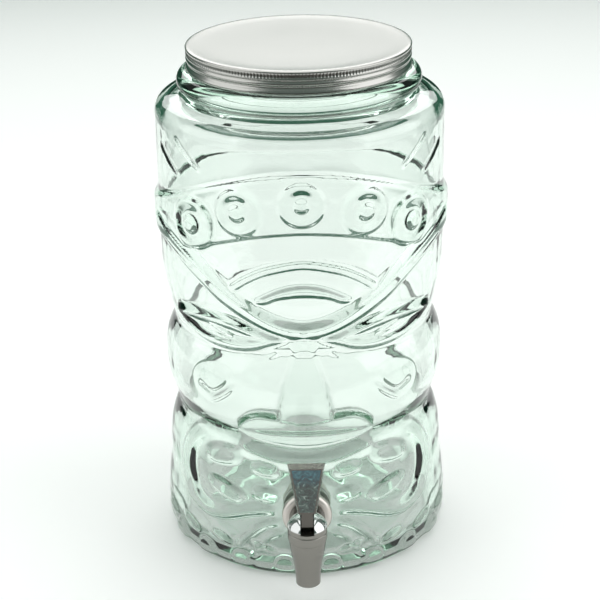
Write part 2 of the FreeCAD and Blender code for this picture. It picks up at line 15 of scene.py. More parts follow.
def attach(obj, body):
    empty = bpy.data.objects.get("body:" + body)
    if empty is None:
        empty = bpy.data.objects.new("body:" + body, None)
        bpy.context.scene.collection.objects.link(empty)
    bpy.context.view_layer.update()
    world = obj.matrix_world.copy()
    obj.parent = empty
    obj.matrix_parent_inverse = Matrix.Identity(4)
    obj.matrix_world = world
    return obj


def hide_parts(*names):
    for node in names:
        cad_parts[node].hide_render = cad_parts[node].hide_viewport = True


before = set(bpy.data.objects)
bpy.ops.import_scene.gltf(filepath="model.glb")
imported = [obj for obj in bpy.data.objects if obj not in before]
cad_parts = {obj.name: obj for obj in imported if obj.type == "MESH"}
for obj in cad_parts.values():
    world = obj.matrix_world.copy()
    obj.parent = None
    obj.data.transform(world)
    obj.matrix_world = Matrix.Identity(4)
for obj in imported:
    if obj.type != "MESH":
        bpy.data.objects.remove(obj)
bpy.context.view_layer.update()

MM = 0.001

# ---- sizes of the jar, in mm ---------------------------------------------------------------------------
WALL_R = 83.0             # the plain wall under the shoulder, and the radius that arc lengths are taken at
GLASS = 5.2               # thickness of the wall
BASE_EXTRA = 3.0          # the glass is thicker by this at the foot
BASE_ENDS = (78, 92)      # the thick glass thins out between these heights, at the jaw's waist
INSIDE_SHARE = 0.3        # share of the relief that also shows on the inside
INSIDE_PLAIN = (84, 104)  # the inside is plain under the first height, and has its share over the second
FOOT_INNER_R = 62.0       # inner edge of the ring the jar stands on
PUNT = 2.5                # lift of the middle of the bottom
FLOOR_Z = 9.0             # inside of the bottom
WALL_TOP = 263.0          # where the shoulder starts
BEAD = (64.2, 280.2, 5.85)    # round bead under the lid: its middle's radius and height, and its own radius
FINISH_R = 60.8           # threaded part under the lid
RIM_Z = 296.8
MOUTH_R = 56.8
PITCH = 5.0               # of the screw thread
RIDGE = (1.5, 0.4, 290.1)     # thread's own radius, how far its middle stands out, and its first height
TAP_Z = 43.5              # height of the hole for the tap
HOLE_R = 8.2
BOSS_R = 17.0             # flat pads of glass on both sides of that hole
BOSS_FACE = 84.2
INNER_PAD_FACE = 74.6
PAD_BLEND = 10.0          # width of the stretch in which a pad runs out into the wall

# ---- sizes of the lid, in mm ---------------------------------------------------------------------------
LID_TOP = 300.0
LID_BOTTOM = 286.6
LID_R = 64.1
SHEET = 0.5
RIBS = 210                # knurling round the top of the skirt
RIB_DEPTH = 0.42

# ---- heights of the tap's finishes and of the painted reflection on its lever, in mm -------------------
RIM_TOP = 52.9            # the bonnet's brushed rim ends and its bright dome starts here
INLAY_REFLECTION_CHANGE = (82, 90)   # the painted reflection on the lever's inlay turns from grey-green to blue-green between these heights

# ---- sizes of the stage, in mm -------------------------------------------------------------------------
SWEEP_HALF = 700          # half the width of the white sweep: past it, the glass shows the dim room
SWEEP_FRONT = -360
SWEEP_BACK = 1600
# a card behind the sweep that glows a dim green: painted shade, seen through the glass
SHADE_CARD_HALF = 3000
SHADE_CARD_Y = 1620
SHADE_CARD_TALL = 720
BOARD_HALF = 1500
BOARD_FRONT = -2400
BOARD_DROP = 2            # the board lies this far under the sweep


# ---- shapes on the wall --------------------------------------------------------------------------------
def ease(low, high, x):
    """0 below low, 1 above high, and smooth between them."""
    t = np.clip((x - low) / (high - low), 0, 1)
    return t * t * (3 - 2 * t)


def on_wall(points):
    """(angle, height) points as (arc length on the wall, height)."""
    return np.array([(math.radians(a) * WALL_R, z) for a, z in points], float)


def smooth_curve(points, closed=False, steps=10):
    """Points along the smooth curve through these."""
    p = on_wall(points)
    if closed:
        p = np.vstack([p[-1], p, p[:2]])
    else:
        p = np.vstack([2 * p[0] - p[1], p, 2 * p[-1] - p[-2]])
    t = np.linspace(0, 1, steps, endpoint=False)[:, None]
    runs = []
    for a, b, c, d in zip(p[:-3], p[1:-2], p[2:-1], p[3:]):
        runs.append(0.5 * (2 * b + (c - a) * t + (2 * a - 5 * b + 4 * c - d) * t**2
                           + (3 * b - a - 3 * c + d) * t**3))
    runs.append(p[-2:-1])
    return np.vstack(runs)


def distance(u, z, line):
    """Distance of each place on the wall from a curve given by its points."""
    nearest = np.full(u.shape, 1e9)
    for (ax, ay), (bx, by) in zip(line[:-1], line[1:]):
        dx, dy = bx - ax, by - ay
        t = np.clip(((u - ax) * dx + (z - ay) * dy) / max(dx * dx + dy * dy, 1e-9), 0, 1)
        nearest = np.minimum(nearest, (u - ax - t * dx) ** 2 + (z - ay - t * dy) ** 2)
    return np.sqrt(nearest)


def depth_inside(u, z, outline):
    """Distance from an outline, counted positive inside it and negative outside."""
    inside = np.zeros(u.shape, bool)
    for (ax, ay), (bx, by) in zip(outline, np.roll(outline, -1, axis=0)):
        if ay == by:
            continue
        crosses = ((ay > z) != (by > z)) & (u < (bx - ax) * (z - ay) / (by - ay) + ax)
        inside ^= crosses
    d = distance(u, z, np.vstack([outline, outline[:1]]))
    return np.where(inside, d, -d)


def pad(depth, edge, high):
    """A flat raised form whose edge slopes nearly straight, as a cutter leaves it in the mould."""
    return high * (0.9 * np.clip(depth / edge, 0, 1) + 0.1 * ease(0, edge, depth))


def cut(depth, high, lean=1.38):
    """A flat raised form whose sides are lean times as wide as high: 36 degrees, unless lean says otherwise.
    At that slope the lower edges of the forms show as dark lines."""
    return pad(depth, lean * high, high)


def both_halves(points):
    """A closed outline from its right half: the points, then their mirror images back again."""
    left = [(-a, z) for a, z in points if a > 0]
    return points + left[::-1]


# ---- the mask's parts, as height over the jar's plain wall ----------------------------------------------
CRISP = 2.6               # width of the headband's lower edge
STEEP = 0.95              # lean of the low forms' sides, which the eye looks down on more
SOFT = 4.2                # width of an edge that the mould rounded off

# The headband's discs on one side: angle, height, radius, and radius of the stud in the middle.
DISCS = ((0, 232.5, 13.8, 5.0), (23.6, 226.5, 14.6, 5.8), (44.5, 214.5, 16.2, 6.2))

# The teeth on one side: angle, height, half of the width, half of the height, and tilt.
TEETH = ((35.6, 73.6, 13.4, 6.2, -8), (16.4, 69.6, 9.0, 4.6, 8), (33.6, 52.2, 14.2, 5.8, 19),
         (15.6, 53.6, 9.4, 5.2, 3))


def headband(u, z):
    """Crown over the brow, five ringed discs on it, and the plain hoop that it runs into round the back."""
    a = np.degrees(u / WALL_R)
    top = 219 + 31.5 * np.cos(np.radians(np.clip(a, 0, 90))) ** 1.9
    low = np.where(a < 56, 194 + 20 * np.cos(np.radians(np.clip(a * 1.55, 0, 90))) ** 1.3, 194)
    hoop = CRISP + 6 * ease(70, 95, a)
    band = 2.5 * np.clip((z - low) / hoop, 0, 1) * ease(0, SOFT + 3 * ease(70, 95, a), top - z)
    for middle, height, outer, button in DISCS:
        r = np.hypot(u - math.radians(middle) * WALL_R, z - height)
        disc = cut(outer - r, 2.2)
        dish = -pad(outer - 4.4 - r, SOFT, 0.7)
        stud = cut(button - r, 2.2)
        band = band + disc + dish + stud
    return band


def straps(u, z):
    """Two flat straps that come down from the temples and cross over the nose."""
    middle = smooth_curve([(0, 155.8), (8, 157.9), (17, 163.4), (31, 175.6), (43, 187.4), (57.5, 197.4),
                           (74, 205)])
    d = distance(u, z, middle)
    d = np.minimum(d, distance(-u, z, middle))
    wide = 6.9 + 1.4 * ease(20, 55, np.degrees(u / WALL_R))
    return cut(wide - d, 3.8)


def forehead(u, z):
    """Two folds between the headband and the straps: a thin arch, and a lens with a sharp lower edge."""
    arch = smooth_curve([(-13, 193.2), (0, 197.0), (13, 193.2), (21, 187.6), (27.5, 181)])
    fold = cut(3.0 - distance(u, z, arch), 1.6)
    top = smooth_curve([(-9, 184.8), (0, 187.2), (9, 184.8), (19.5, 176.4)])
    lens = smooth_curve(both_halves([(0, 187.2), (9, 184.8), (19.5, 176.6), (18.6, 172.6), (14, 172.8),
                                     (9, 175.8), (0, 177.4)]), closed=True)
    inside = depth_inside(u, z, lens)
    shape = ease(0, SOFT + 1, np.where(inside > 0, distance(u, z, top), 0)) * np.clip(inside / 3.2, 0, 1)
    return np.maximum(fold, 3.3 * shape)


def eyes(u, z):
    """Slanted eyes: lids with a sharp lower edge, a hollow inside the lids and a narrow pupil."""
    lids = smooth_curve([(6, 150.8), (15.4, 143.7), (25.8, 139.2), (37.2, 138.3), (48.2, 140.2), (58, 145.8),
                         (65.5, 154), (61, 158.5), (46, 163.2), (32, 163.2), (19, 158)], closed=True)
    hollow = smooth_curve([(15, 150.5), (24, 146.0), (36, 145), (48, 147.8), (57, 154.0), (45, 157.4),
                           (32, 157.2), (22, 154.4)], closed=True)
    pupil = smooth_curve([(27, 148.6), (34, 149.2), (42, 154.6), (36, 154.2)], closed=True)
    form = cut(depth_inside(u, z, lids), 3.3) - pad(depth_inside(u, z, hollow), SOFT, 2.0)
    return form + cut(depth_inside(u, z, pupil), 1.5)


def nose(u, z):
    """Wedge that widens down from the straps to broad nostrils."""
    bridge = smooth_curve(both_halves([(0, 158), (3.4, 150), (6.4, 138), (9.2, 125), (11.8, 108), (12, 98),
                                       (0, 96)]), closed=True)
    wings = smooth_curve(both_halves([(0, 104), (11, 107.5), (20, 106.8), (27.4, 99.4), (29.4, 93.4),
                                      (26.5, 88.5), (17, 84.2), (0, 81.6)]), closed=True)
    rise = 2.0 + 3.2 * ease(152, 105, z)
    ridge = pad(depth_inside(u, z, bridge), 3.2, 1) * rise
    sides = pad(depth_inside(u, z, wings), 3.0, 1) * (2.6 + 2.8 * ease(81, 94, z))
    return np.maximum(ridge, sides)


def cheeks(u, z):
    """Round cheeks, with two folds between them and the nose, and a crease before the ears."""
    middle = math.radians(40.5) * WALL_R
    ball = 1 - ((u - middle) / 23.5) ** 2 - ((z - 117.5) / 19.0) ** 2
    form = 3.4 * ease(0, 1, ball)
    inner = smooth_curve([(28, 139), (26.5, 130), (37, 113.5), (45, 115)])
    fold = smooth_curve([(12, 139.9), (21.6, 131.9), (30.1, 117.5), (39.8, 106.8)])
    form = form - 0.7 * np.exp(-((distance(u, z, inner) / 1.7) ** 2))
    form = form + pad(2.1 - distance(u, z, fold), 1.6, 0.7)
    crease = smooth_curve([(58, 138), (57.4, 123), (57.4, 109), (54.5, 100), (45.5, 97.6), (33, 94.5)])
    return form - 2.3 * np.exp(-((distance(u, z, crease) / 2.2) ** 2))


def mouth(u, z):
    """Thick lips round the whole mouth, steep outside and soft inside, and the teeth between them."""
    outer = smooth_curve(both_halves([(0, 79.4), (12, 80.8), (24, 85), (34, 89), (46, 89.8), (56.2, 83),
                                      (61.6, 68), (61.4, 51), (56.4, 37.6), (46, 31.2), (35.5, 31.0),
                                      (22.3, 37.6), (11, 40.6), (0, 41.2)]), closed=True)
    inner = smooth_curve(both_halves([(0, 74.0), (12, 75.2), (24, 79), (34, 82.6), (44, 83), (50, 77.4),
                                      (54, 67), (54, 53), (50.2, 43.2), (43, 37.8), (35, 37.6), (22, 43.2),
                                      (11, 46), (0, 46.6)]), closed=True)
    high = 4.0 - 1.8 * ease(42, 58, np.degrees(u / WALL_R))
    form = cut(depth_inside(u, z, outer), high, STEEP) - pad(depth_inside(u, z, inner), SOFT + 0.6, 2.4)
    for a, height, half_wide, half_high, tilt in TEETH:
        across, up = u - math.radians(a) * WALL_R, z - height
        turn = math.radians(tilt)
        along = across * math.cos(turn) + up * math.sin(turn)
        over = up * math.cos(turn) - across * math.sin(turn)
        r = ((abs(along) / half_wide) ** 2.6 + (abs(over) / half_high) ** 2.6) ** (1 / 2.6)
        form = form + cut((1 - r) * half_high, 2.1, STEEP)
    return form


def chin(u, z):
    """Two arched ribs under the lips, beside the tap."""
    outer = smooth_curve([(9, 38.4), (17.6, 33.6), (24.5, 24.5), (28, 18.6)])
    inner = smooth_curve([(8, 31.4), (15.4, 26.2), (21.6, 12.5)])
    form = cut(3.4 - distance(u, z, outer), 2.7, STEEP)
    return np.maximum(form, cut(3.0 - distance(u, z, inner), 2.4, STEEP))


def rope(u, z):
    """Roped foot: round knobs at the table and slanted lozenges over them, all of them lower at the back."""
    a = np.degrees(u / WALL_R)
    step, knob_r = 18.0, 7.6
    per_degree = math.radians(1) * WALL_R
    to_knob = per_degree * (a % step - step / 2)
    form = cut(knob_r - np.hypot(to_knob, z - knob_r), 2.2, STEEP)
    across, up = per_degree * ((a + step / 2) % step - step / 2), z - 18.6
    along, over = across * 0.94 + up * 0.34, up * 0.94 - across * 0.34
    form = np.maximum(form, cut(3.6 * (1 - np.hypot(along / 9.6, over / 3.6)), 2.0, STEEP))
    return form * (1 - 0.6 * ease(72, 84, a))


def hair(u, z):
    """Slanted strokes over the headband, at the temples."""
    form = np.zeros_like(u)
    for a, b in (((69.4, 249.6), (55.5, 238.5)), ((55.3, 258.9), (42.3, 245))):
        form -= 0.8 * np.exp(-((distance(u, z, on_wall([a, b])) / 1.0) ** 2))
    return form


def ears(u, z):
    """Lobes behind the cheeks and the lips: the face between them is set back."""
    a = np.degrees(u / WALL_R)
    return -2.2 * ease(66, 56, a) * ease(84, 92, z) * ease(139, 131, z)


def relief(u, z):
    """Height of the whole moulding over the plain wall at arc length u from the middle of the face."""
    u = abs(u)
    brow = np.maximum(headband(u, z), np.maximum(straps(u, z), forehead(u, z)))
    brow = np.maximum(brow, eyes(u, z))
    face = ears(u, z) + np.where(u < math.radians(70) * WALL_R, cheeks(u, z), 0) * ease(80, 84, z)
    face = np.maximum(face, nose(u, z))
    low = mouth(u, z) + chin(u, z) + rope(u, z)
    return np.where(brow > 0.01, np.maximum(brow, face), face) + low + hair(u, z)


# ---- the jar's section ---------------------------------------------------------------------------------
def arc_points(middle, radius, start, end, count):
    """(radius, height) points along a circular arc, with its angles in degrees from outward."""
    angles = np.radians(np.linspace(start, end, count))
    return [(middle[0] + radius * math.cos(a), middle[1] + radius * math.sin(a)) for a in angles]


def lobed_wall(z):
    """Radius of the jar's outside with no relief: swollen foot, jaw, ears and brow, with waists between."""
    knots = [(0, 81.4), (3, 83.6), (10, 84.8), (25, 85.4), (37, 84.4), (46, 82.9), (60, 82.6), (70, 81.4),
             (78, 78.8), (83, 76.2), (88, 77.2), (95, 79.4), (103, 82), (112, 82.8), (121, 82.7), (129, 81.2),
             (134.5, 78.8), (138.5, 76.8), (144, 77.8), (152, 79.2), (162, 81.2), (172, 82.7), (180, 83.0),
             (240, 83.0), (WALL_TOP, 83.0)]
    heights, radii = np.array(knots).T
    span = np.gradient(radii, heights)
    i = np.clip(np.searchsorted(heights, z) - 1, 0, len(heights) - 2)
    h = heights[i + 1] - heights[i]
    t = (z - heights[i]) / h
    return ((2 * t**3 - 3 * t**2 + 1) * radii[i] + (t**3 - 2 * t**2 + t) * h * span[i]
            + (3 * t**2 - 2 * t**3) * radii[i + 1] + (t**3 - t**2) * h * span[i + 1])


def angles_round():
    """Angles of the mesh's columns: close together over the face, and wider round the back."""
    face = np.arange(-72, 72.01, 0.75)
    back = np.arange(76.5, 288, 4.5)
    return np.radians(np.concatenate([face, back]))


def blurred(heights, reach):
    """A softer copy of a field of heights, for the inside of the glass, which follows the mould less."""
    steps = np.arange(-reach, reach + 1)
    weights = np.exp(-2 * (steps / reach) ** 2)
    weights /= weights.sum()
    padded = np.pad(heights, ((reach, reach), (0, 0)), mode="edge")
    heights = sum(w * padded[k:k + len(heights)] for k, w in enumerate(weights))
    return sum(w * np.roll(heights, s, axis=1) for s, w in zip(steps, weights))


def rings(rows, columns):
    """Vertex positions of round rows, each one (radius, height) all the way round."""
    across, back = np.sin(columns), -np.cos(columns)
    return [np.column_stack([r * across, r * back, np.full(len(columns), z)]) for r, z in rows]


def flattened(points, face):
    """Brings the wall round the tap's hole onto a flat pad at y = -face."""
    r = np.hypot(points[..., 0], points[..., 2] - TAP_Z)
    share = ease(BOSS_R - 1 + PAD_BLEND, BOSS_R - 1, r) * (points[..., 1] < 0)
    points[..., 1] = points[..., 1] * (1 - share) - face * share
    return points


def threaded(rows, columns):
    """Rows of the finish under the lid, with its thread in four stretches of one right-handed turn. Each
    stretch is full for 38 degrees both ways from its middle, and fades out in 10 more."""
    own, out, first = RIDGE
    turn = np.degrees(columns - math.pi / 2)[None, :] % 360
    z = np.array([h for _, h in rows])[:, None]
    form = np.zeros((len(rows), len(columns)))
    for whole in (0, -360):
        at = turn + whole
        stretch = np.round(at / 90) * 90
        gap = ease(48, 38, abs(at - stretch)) * (stretch > -1) * (stretch < 271)
        lift = first + PITCH * at / 360
        form = np.maximum(form, gap * (out + np.sqrt(np.clip(own**2 - (z - lift) ** 2, 0, None)))
                          * (abs(z - lift) < own))
    radii = np.array([r for r, _ in rows])[:, None] + form
    return np.stack([radii * np.sin(columns), -radii * np.cos(columns), z + 0 * radii], axis=-1)


def quads(rows, around, shut):
    """Faces between neighbouring rows of a round grid. shut says which cells are left out."""
    faces = []
    for j in range(rows - 1):
        for i in range(around):
            if (j, i) not in shut:
                k = (i + 1) % around
                faces.append((j * around + i, j * around + k, (j + 1) * around + k, (j + 1) * around + i))
    return faces


def new_mesh(name, vertices, faces):
    """A smooth-shaded mesh object from vertices in millimetres."""
    mesh = bpy.data.meshes.new(name)
    mesh.from_pydata((np.asarray(vertices) * MM).tolist(), [], faces)
    mesh.update()
    mesh.polygons.foreach_set("use_smooth", [True] * len(mesh.polygons))
    made = bpy.data.objects.new(name, mesh)
    bpy.context.collection.objects.link(made)
    return made


def under_rows(columns):
    """The bottom's outside, from its lifted middle to the outer edge of the ring that the jar stands on."""
    return rings([(0.01, PUNT), (FOOT_INNER_R - 6, PUNT), (FOOT_INNER_R, 0), (78.5, 0), (80.6, 0)], columns)


def top_rows(columns):
    """Everything over the wall: shoulder, bead, threaded finish, rim, mouth, and the shoulder's underside."""
    shoulder = arc_points((75.2, WALL_TOP + 0.4), 7.8, 6, 84, 9)
    shoulder += [(72.6, 271.4), (69.4, 271.9), (66.4, 272.8)]
    bead = arc_points(BEAD[:2], BEAD[2], -70, 106, 16)
    finish = [(FINISH_R, h) for h in np.arange(286.6, RIM_Z - 1.1, 0.5)]
    rim = [(60.7, RIM_Z - 0.7), (60.2, RIM_Z - 0.15), (59.2, RIM_Z), (58.2, RIM_Z), (57.2, RIM_Z - 0.3),
           (MOUTH_R, RIM_Z - 1.0)]
    neck = [(MOUTH_R, h) for h in (290, 284, 279, 275)]
    under_shoulder = [(57.4, 272.6), (59.4, 270.0), (63.0, 268.3), (68.0, 267.2), (73.4, 266.5),
                      (75.8, 265.8), (77.2, 264.2), (77.7, 261.6)]
    outside = rings(shoulder + bead, columns) + list(threaded(finish, columns))
    return outside + rings(rim + neck + under_shoulder, columns)


def outer_wall(columns, z, form):
    """The wall's outside: the lobed section with the relief on it, and the flat pad for the tap."""
    r = lobed_wall(z) + form
    return flattened(np.stack([r * np.sin(columns), -r * np.cos(columns), z], axis=-1), BOSS_FACE)


def inner_wall(columns, z, form):
    """The wall's inside: thicker glass at the foot, and a faint copy of the relief over it."""
    r = lobed_wall(z) - GLASS - BASE_EXTRA * ease(*BASE_ENDS[::-1], z)
    r += INSIDE_SHARE * form * ease(*INSIDE_PLAIN, z)
    return flattened(np.stack([r * np.sin(columns), -r * np.cos(columns), z], axis=-1), INNER_PAD_FACE)


def floor_rows(columns):
    """The inside of the bottom, with a small heel where it meets the wall."""
    return rings([(77.0, 11.6), (75.4, 9.7), (72.6, FLOOR_Z), (30, FLOOR_Z), (0.01, FLOOR_Z)], columns)


def hole_cells(wall, near_tap):
    """The wall's cells, as (row, column), whose middles lie in the tap's hole."""
    around = wall.shape[1]
    cells = set()
    for k in near_tap[:-1]:
        for i in range(around):
            x, y, z = (wall[k, i] + wall[k + 1, (i + 1) % around]) / 2
            if y < 0 and math.hypot(x, z - TAP_Z) < HOLE_R:
                cells.add((k, i))
    return cells


def hole_lining(points, cells, outer_row, inner_row, around):
    """Rounds the edges of the hole's two ends, and gives the faces between them."""
    edges = {}
    for k, i in cells:
        n = (i + 1) % around
        for a, b, beside in (((k, i), (k, n), (k - 1, i)), ((k + 1, n), (k + 1, i), (k + 1, i)),
                             ((k, n), (k + 1, n), (k, n)), ((k + 1, i), (k, i), (k, (i - 1) % around))):
            if beside not in cells:
                edges[a] = b
    lining = []
    for (ka, ia), (kb, ib) in edges.items():
        outer_a, outer_b = outer_row[ka] * around + ia, outer_row[kb] * around + ib
        inner_a, inner_b = inner_row[ka] * around + ia, inner_row[kb] * around + ib
        lining.append((outer_a, outer_b, inner_b, inner_a))
        for v in (outer_a, inner_a):
            x, _, h = points[v]
            scale = HOLE_R / math.hypot(x, h - TAP_Z)
            points[v][0], points[v][2] = x * scale, TAP_Z + (h - TAP_Z) * scale
    return lining


def jar_glass():
    """The jar as one closed wall: outside with the relief, threaded finish, rim, inside, and tap hole."""
    columns = angles_round()
    around = len(columns)
    wrapped = (columns + math.pi) % (2 * math.pi) - math.pi
    heights = np.concatenate([np.linspace(0, 12, 10)[:-1], np.arange(12, WALL_TOP, 1.0), [WALL_TOP]])
    u, z = np.meshgrid(wrapped * WALL_R, heights)
    form = relief(u, z) * ease(0, 5, z)
    wall = outer_wall(columns, z, form)

    # The inside takes one row in five, from the top down, and every row by the tap's hole.
    near_tap = [k for k, h in enumerate(heights) if abs(h - TAP_Z) < HOLE_R + 2]
    kept = [k for k in range(len(heights)) if k in near_tap or (k % 5 == 0 and 14 < heights[k] < 259)][::-1]
    inner = inner_wall(columns, z[kept], blurred(form, 8)[kept])

    under, top = under_rows(columns), top_rows(columns)
    stack = under + list(wall) + top + list(inner) + floor_rows(columns)
    points = np.vstack(stack)
    outer_row = {k: len(under) + k for k in near_tap}
    inner_row = {k: len(under) + len(wall) + len(top) + kept.index(k) for k in near_tap}
    cells = hole_cells(wall, near_tap)
    shut = {(outer_row[k], i) for k, i in cells} | {(inner_row[k + 1], i) for k, i in cells}
    faces = quads(len(stack), around, shut)
    faces += hole_lining(points, cells, outer_row, inner_row, around)
    return new_mesh("jar_glass", points, faces)


# ---- the lid -------------------------------------------------------------------------------------------
def lid_cap():
    """Drawn sheet lid: rounded top edge, ribbed band, two rolled grooves, thread roll and curled hem."""
    columns = np.radians(np.arange(0, 360, 360 / (RIBS * 4)))
    top = [(0.01, LID_TOP - 0.35), (30, LID_TOP - 0.33), (52, LID_TOP - 0.25), (60.0, LID_TOP - 0.1),
           (62.0, LID_TOP), (63.2, LID_TOP - 0.05), (63.9, LID_TOP - 0.35), (64.25, LID_TOP - 0.9),
           (64.1, LID_TOP - 1.3)]
    band = [(LID_R, h) for h in np.linspace(LID_TOP - 1.7, 295.6, 8)]
    rolls = [(LID_R, 295.2), (63.75, 294.8), (63.45, 294.3), (63.75, 293.8), (64.1, 293.4), (64.15, 292.8),
             (64.05, 292.2), (63.6, 291.7), (63.25, 291.1), (63.2, 290.5), (63.45, 289.9), (63.95, 289.4),
             (64.25, 288.8), (64.4, 288.1), (64.35, 287.4), (64.0, 286.9)]
    hem = [(63.5, LID_BOTTOM), (63.05, 286.8), (62.9, 287.3)]
    inside = [(r - SHEET, h) for r, h in rolls[::-1] + band[-1:]]
    inside += [(LID_R - SHEET - 0.2, LID_TOP - 1.6), (63.0, LID_TOP - 0.9), (60, LID_TOP - 0.8),
               (0.01, LID_TOP - 0.9)]
    rows = top + band + rolls + hem + inside
    stack = np.array(rings(rows, columns))
    valley = 0.5 - 0.5 * np.cos(columns * RIBS)
    first, last = len(top), len(top) + len(band) - 2
    for k in range(first, last + 1):
        deep = RIB_DEPTH if first < k < last else RIB_DEPTH / 2
        stack[k, :, :2] *= (1 - deep * valley / LID_R)[:, None]
    return new_mesh("lid_cap", stack.reshape(-1, 3), quads(len(rows), len(columns), set()))


# ---- materials -----------------------------------------------------------------------------------------
SATIN_COLOUR = "8c8984"   # the barrel's plate, which the bonnet's rim shares
SATIN_ROUGHNESS = 0.27


def linear(code):
    """An sRGB hex colour as linear RGBA."""
    parts = [int(code[i:i + 2], 16) / 255 for i in (0, 2, 4)]
    return tuple(c / 12.92 if c <= 0.04045 else ((c + 0.055) / 1.055) ** 2.4 for c in parts) + (1.0,)


def add(tree, kind, values=(), links=(), **settings):
    """Adds a node. values maps an input to a value, and links maps an input to the socket that feeds it."""
    made = tree.nodes.new(kind)
    for name, setting in settings.items():
        setattr(made, name, setting)
    for name, value in dict(values).items():
        made.inputs[name].default_value = value
    for name, source in dict(links).items():
        tree.links.new(source, made.inputs[name])
    return made


def blank(name):
    """An empty material's tree and its output."""
    material = bpy.data.materials.new(name)
    material.use_nodes = True
    tree = material.node_tree
    tree.nodes.clear()
    return material, tree, add(tree, "ShaderNodeOutputMaterial")


def per_metre(millimetres):
    """Texture scale at which one feature measures this many millimetres."""
    return 1000.0 / millimetres


def soda_lime_glass():
    """Recycled soda-lime glass, pressed in an iron mould: clear and a little green, darker green where light
    runs along the wall, with the slow waves of a chilled surface."""
    material, tree, out = blank("soda_lime_glass_pressed")
    place = add(tree, "ShaderNodeTexCoord").outputs["Object"]
    wave = add(tree, "ShaderNodeTexNoise", {"Scale": per_metre(16), "Detail": 2.0, "Roughness": 0.4},
               {"Vector": place})
    bump = add(tree, "ShaderNodeBump", {"Strength": 0.35, "Distance": 0.4 * MM},
               {"Height": wave.outputs["Fac"]})
    glass = add(tree, "ShaderNodeBsdfPrincipled",
                {"Base Color": linear("ffffff"), "Roughness": 0.0, "IOR": 1.5, "Transmission Weight": 1.0},
                {"Normal": bump.outputs["Normal"]})
    tint = add(tree, "ShaderNodeVolumeAbsorption", {"Color": linear("dff2e7"), "Density": 45.0})
    tree.links.new(glass.outputs["BSDF"], out.inputs["Surface"])
    tree.links.new(tint.outputs["Volume"], out.inputs["Volume"])
    return material


def metal(name, colour, roughness, grain, stretch=(1, 1, 1), uneven=0.05):
    """A metal with a worked surface: grain is the width of its marks in mm, and stretch draws them out. The
    marks of the real ones are finer still: these are as coarse as they need to be to show close up."""
    material, tree, out = blank(name)
    place = add(tree, "ShaderNodeTexCoord").outputs["Object"]
    lay = add(tree, "ShaderNodeMapping", {"Scale": stretch}, {"Vector": place})
    marks = add(tree, "ShaderNodeTexNoise", {"Scale": per_metre(grain), "Detail": 4.0, "Roughness": 0.65},
                {"Vector": lay.outputs["Vector"]})
    cloud = add(tree, "ShaderNodeTexNoise", {"Scale": per_metre(22), "Detail": 3.0}, {"Vector": place})
    half = add(tree, "ShaderNodeMath", {1: 0.5}, {0: marks.outputs["Fac"]}, operation="MULTIPLY")
    both = add(tree, "ShaderNodeMath", {}, {0: cloud.outputs["Fac"], 1: half.outputs["Value"]},
               operation="ADD")
    rough = add(tree, "ShaderNodeMapRange",
                {"From Min": 0.4, "From Max": 1.1, "To Min": roughness - uneven,
                 "To Max": roughness + uneven}, {"Value": both.outputs["Value"]})
    bump = add(tree, "ShaderNodeBump", {"Strength": 0.5, "Distance": 0.004 * MM},
               {"Height": marks.outputs["Fac"]})
    toned = add(tree, "ShaderNodeValToRGB", {}, {"Fac": cloud.outputs["Fac"]})
    toned.color_ramp.elements[0].color = linear("f3f3f3")
    toned.color_ramp.elements[1].color = linear("ffffff")
    shade = add(tree, "ShaderNodeMix", {"Factor": 0.5}, data_type="RGBA", blend_type="MULTIPLY")
    shade.inputs[6].default_value = linear(colour)
    tree.links.new(toned.outputs["Color"], shade.inputs[7])
    body = add(tree, "ShaderNodeBsdfPrincipled", {"Metallic": 1.0},
               {"Base Color": shade.outputs[2], "Roughness": rough.outputs["Result"],
                "Normal": bump.outputs["Normal"]})
    tree.links.new(body.outputs["BSDF"], out.inputs["Surface"])
    return material


def lid_tinplate():
    """Tinplate, rolled to a satin: a pale grey sheen on the flat top, fine upright streaks on the skirt."""
    return metal("tinplate_satin", "b8b6b3", 0.24, 0.5, stretch=(1, 1, 0.08), uneven=0.02)


def barrel_chrome():
    """Chrome plate over brushed metal, on the tap's body: one broad, soft highlight down the barrel."""
    return metal("chrome_plate_satin", SATIN_COLOUR, SATIN_ROUGHNESS, 0.35)


def collar_chrome_painted_light():
    """Chrome plate over coarser brushing, on the escutcheon, with no sharp reflections; its pale colour is
    painted light, standing in for light from the front.
    """
    # The pale colour dcd5d0 is painted light on the escutcheon; its roughness is that of the real brushing.
    return metal("chrome_plate_brushed_painted_light", "dcd5d0", 0.42, 0.35)


def lever_plate_painted_dark():
    """Polished plate on the lever, with clear highlights; its warm dark grey is painted shade."""
    # The warm dark grey 66625e is painted shade on the lever's plate.
    return metal("lever_plate_painted_shade", "66625e", 0.24, 0.6, uneven=0.04)


def drawn_steel():
    """Stainless wire and sheet, as drawn: light grey, with fine marks along the rod."""
    return metal("stainless_drawn", "a9a9a6", 0.28, 0.3, stretch=(1, 1, 0.1))


